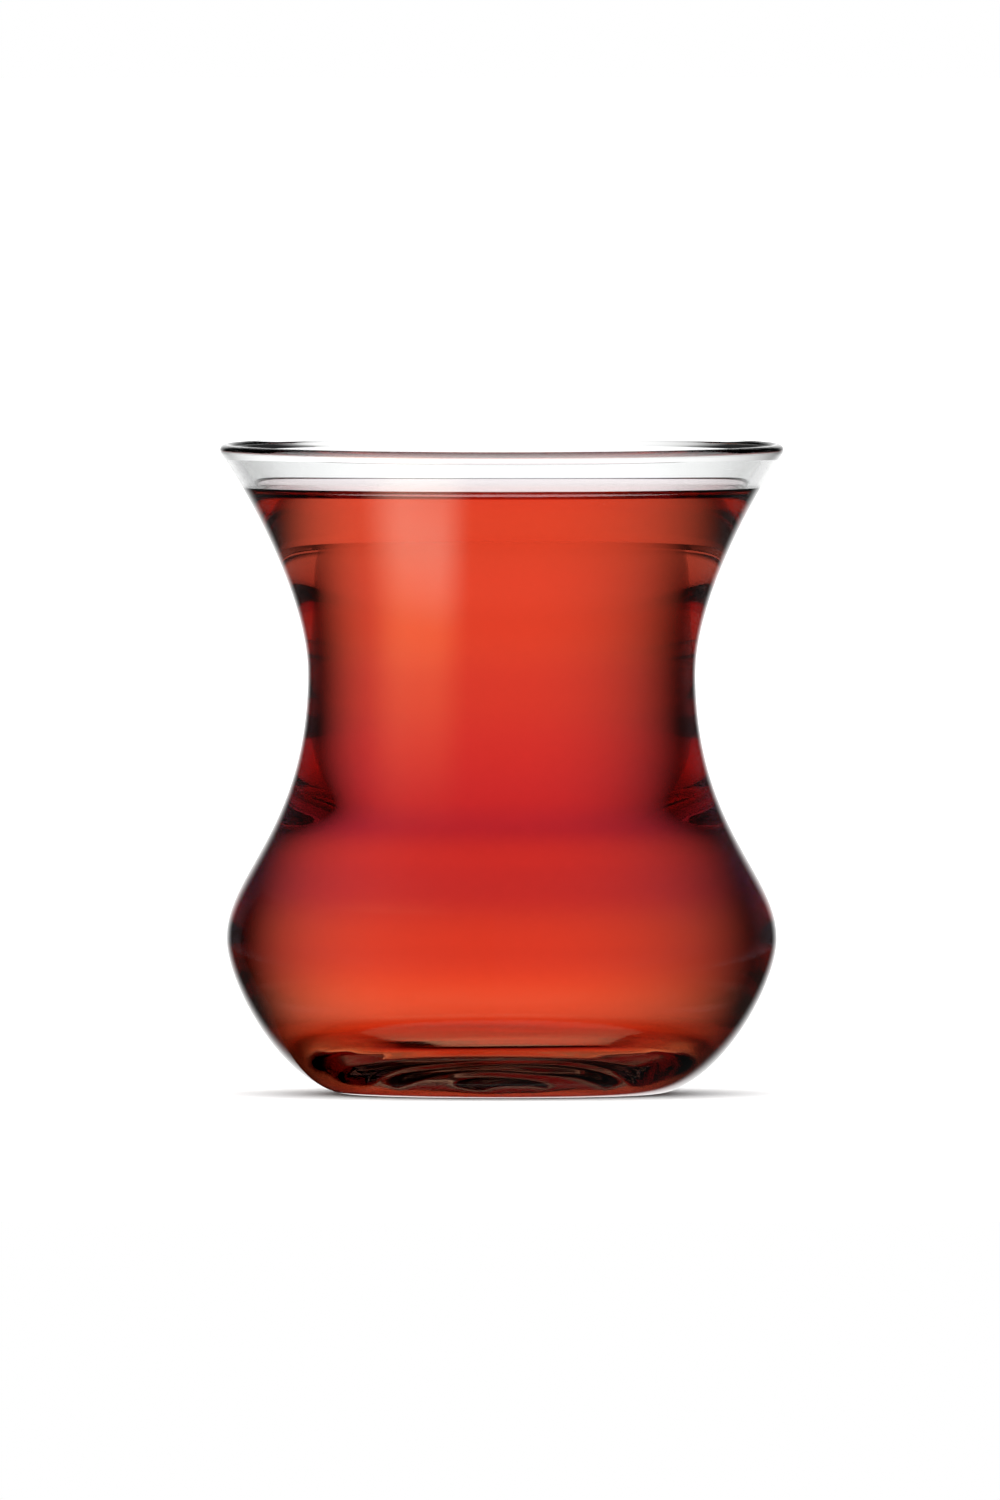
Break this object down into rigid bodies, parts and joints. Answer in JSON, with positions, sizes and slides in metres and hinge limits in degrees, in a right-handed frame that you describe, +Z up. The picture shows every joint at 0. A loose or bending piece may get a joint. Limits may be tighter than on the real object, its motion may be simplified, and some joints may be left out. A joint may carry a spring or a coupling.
{
  "type": "turkish tea glass",
  "caption": "Waisted clear drinking glass with a flared rim and a heavy rounded base, filled with red-brown tea to just under its rim.",
  "frame": {"origin": "centre of the foot's ring, on the surface the glass stands on", "axes": "+Z up along the glass's axis; the shape is the same all round, so +X and +Y are free"},
  "size_m": [0.066, 0.066, 0.076],
  "materials": {
    "glass": "gloss",
    "tea": "gloss"
  },
  "bodies": {
    "root": {"glass": "glass", "tea": "tea"}
  },
  "joints": []
}
